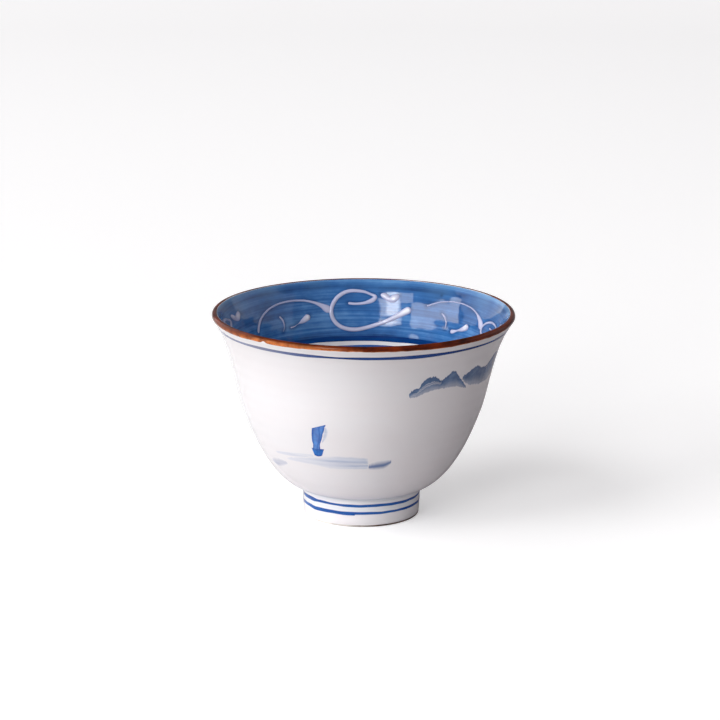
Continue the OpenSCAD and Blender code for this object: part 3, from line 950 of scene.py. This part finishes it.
for number, (top_edge, low_edge) in enumerate(ridges, 1):
    grid, u, v = film(top_edge, low_edge, 150, 30, ragged=0.16, seed=60 + number)
    wandering = 0.5 + 0.3 * np.sin(7 * u + number)
    dark = np.clip(0.8 * bump_at(v, 0.95, 0.12) + 0.35 * bump_at(v, wandering, 0.08), 0, 1)
    highlight_lines = 0.0
    # Painted highlight: two light lines down the first hill's slope.
    if number == 1:
        two_lines = bump_at(v, 0.15 + 0.55 * u, 0.035) + bump_at(v, 0.3 + 0.5 * u, 0.03)
        highlight_lines = 0.55 * two_lines * np.clip(u * 5 - 0.6, 0, 1)
    paint = np.clip(0.97 - 0.35 * bump_at(v, 0.1, 0.25) - highlight_lines, 0, 1)
    paint = paint * edge_fade(v, 0.07) * edge_fade(u, 0.03)
    piece(f"ridge_{number}", grid, pale_cobalt, paint=paint, dark=dark)
print("painted films:", sum("ridge" in name for name in made), "hills and", len(made), "pieces in all")

# %% [markdown]
# ## Table and light
#
# The cup stands on pale paper that has no edge: far away it glows as white as the background and so runs
# into it. To the camera, and in the mirror of the cup's left side, the paper is nearly white. To all other
# light it is darker, and a little less so close to the foot, so that the white body keeps its shading.
# Soft boxes in front and on the left light the cup, and a weak one stands behind. The glaze mirrors its
# own set of panes and cards, so that the bright patches inside the cup can be placed without changing how
# the white body is shaded.

# %% Table
HALF_TABLE = 6.0
PAPER_WHITE = 0.82
PAPER_GLOW, PAPER_BOUNCE, NEAR_BOUNCE = 0.37, 0.52, 0.72
BOUNCE_CENTRE = (-0.024, -0.012, 0)
NEAR_TO, FAR_FROM = 0.03, 0.075
GLOW_FROM, GLOW_TO = 1.0, 4.0
DARK_SIDE, BRIGHT_SIDE = 0.02, -0.06


def show(tree, share, usual, special, output):
    """Ends a node tree with the special shader where share is 1 and the usual one where it is 0."""
    either = tree.nodes.new("ShaderNodeMixShader")
    tree.links.new(share, either.inputs["Fac"])
    tree.links.new(usual, either.inputs[1])
    tree.links.new(special, either.inputs[2])
    tree.links.new(either.outputs["Shader"], tree.nodes[output].inputs["Surface"])


table_mesh = bpy.data.meshes.new("table")
corners = [(HALF_TABLE * x, HALF_TABLE * y, 0) for x, y in ((-1, -1), (1, -1), (1, 1), (-1, 1))]
table_mesh.from_pydata(corners, [], [(0, 1, 2, 3)])
table = bpy.data.objects.new("table", table_mesh)
bpy.context.scene.collection.objects.link(table)
table_white = bpy.data.materials.new("table_white")
table_white.use_nodes = True
tree = table_white.node_tree
tree.nodes.remove(tree.nodes["Principled BSDF"])
paper = tree.nodes.new("ShaderNodeBsdfDiffuse")
glow = tree.nodes.new("ShaderNodeEmission")
seen_paper = tree.nodes.new("ShaderNodeAddShader")
dim_paper = tree.nodes.new("ShaderNodeBsdfDiffuse")
place = tree.nodes.new("ShaderNodeTexCoord")
how_far = tree.nodes.new("ShaderNodeVectorMath")
how_far.operation = "DISTANCE"
how_far.inputs[1].default_value = BOUNCE_CENTRE
tree.links.new(place.outputs["Object"], how_far.inputs[0])
paper.inputs["Color"].default_value = (PAPER_WHITE, PAPER_WHITE, PAPER_WHITE, 1)
strength = fit(tree, how_far.outputs["Value"], GLOW_FROM, GLOW_TO, PAPER_GLOW, 1.0)
tree.links.new(strength, glow.inputs["Strength"])
near_tone = (NEAR_BOUNCE, 0.97 * NEAR_BOUNCE, NEAR_BOUNCE)
far_tone = (PAPER_BOUNCE, 0.96 * PAPER_BOUNCE, 0.98 * PAPER_BOUNCE)
bounce = ramp(tree, how_far.outputs["Value"], [(NEAR_TO, near_tone), (FAR_FROM, far_tone)])
tree.links.new(bounce, dim_paper.inputs["Color"])
tree.links.new(paper.outputs["BSDF"], seen_paper.inputs[0])
tree.links.new(glow.outputs["Emission"], seen_paper.inputs[1])
seen = tree.nodes.new("ShaderNodeLightPath")
axes = tree.nodes.new("ShaderNodeSeparateXYZ")
tree.links.new(place.outputs["Object"], axes.inputs["Vector"])
on_left = fit(tree, axes.outputs["X"], DARK_SIDE, BRIGHT_SIDE)
mirrored = combine(tree, "MULTIPLY", seen.outputs["Is Glossy Ray"], on_left)
share = combine(tree, "MAXIMUM", seen.outputs["Is Camera Ray"], mirrored)
show(tree, share, dim_paper.outputs["BSDF"], seen_paper.outputs["Shader"], "Material Output")
table_mesh.materials.append(table_white)


# %% Light
LAMP_FAR = 3.0
SKY_GLOW = 0.25
SKY_TINT = (1, 0.94, 0.98, 1)


def soft_box(name, azimuth, rise, width, height, glow, use="light"):
    """A rectangular lamp aimed at the cup, at azimuth (degrees left of the camera) and rise above the table,
    sized in metres. A light gives no mirror image, and a mirror gives only that."""
    a, e = math.radians(azimuth), math.radians(rise)
    target = Vector((0, 0, 30 * MM))
    place = target + LAMP_FAR * Vector((-math.sin(a) * math.cos(e), -math.cos(a) * math.cos(e), math.sin(e)))
    lamp = bpy.data.lights.new(name, "AREA")
    lamp.shape = "RECTANGLE"
    lamp.size, lamp.size_y = width, height
    lamp.energy = glow * math.pi * width * height
    item = bpy.data.objects.new(name, lamp)
    aim_turn = (target - place).to_track_quat("-Z", "Y").to_matrix().to_4x4()
    item.matrix_world = Matrix.Translation(place) @ aim_turn
    item.visible_glossy = use == "mirror"
    item.visible_diffuse = use == "light"
    bpy.context.scene.collection.objects.link(item)


soft_box("front_low", 25, 18, 0.96, 0.75, 11.0)
soft_box("front_high", 25, 33, 0.96, 0.75, 5.3)
soft_box("side_low", 64, 18, 1.65, 0.75, 12.8)
soft_box("side_high", 64, 50, 1.65, 1.0, 4.4)
soft_box("back", 180, 50, 2.4, 1.6, 0.7)
soft_box("front_pane", 25, 29.3, 0.96, 1.14, 6.0, "mirror")
soft_box("front_pane_bright", 27, 31, 0.55, 1.0, 8.0, "mirror")
soft_box("side_pane", 71, 23, 2.6, 0.84, 4.6, "mirror")
soft_box("bridge_pane", 41, 35, 0.73, 0.55, 4.0, "mirror")
soft_box("right_card", -103, 22, 3.6, 2.0, 0.42, "mirror")
soft_box("left_card", 128, 25, 3.0, 2.2, 1.1, "mirror")
world = bpy.data.worlds.new("studio")
bpy.context.scene.world = world
world.use_nodes = True
tree = world.node_tree
sky = tree.nodes["Background"]
sky.inputs["Strength"].default_value = SKY_GLOW
sky.inputs["Color"].default_value = SKY_TINT
backdrop = tree.nodes.new("ShaderNodeBackground")
backdrop.inputs["Strength"].default_value = 1.0
backdrop.inputs["Color"].default_value = (1, 1, 1, 1)
seen = tree.nodes.new("ShaderNodeLightPath")
looks_out = seen.outputs["Is Camera Ray"]
show(tree, looks_out, sky.outputs["Background"], backdrop.outputs["Background"], "World Output")
bpy.context.scene.view_settings.view_transform = "Standard"
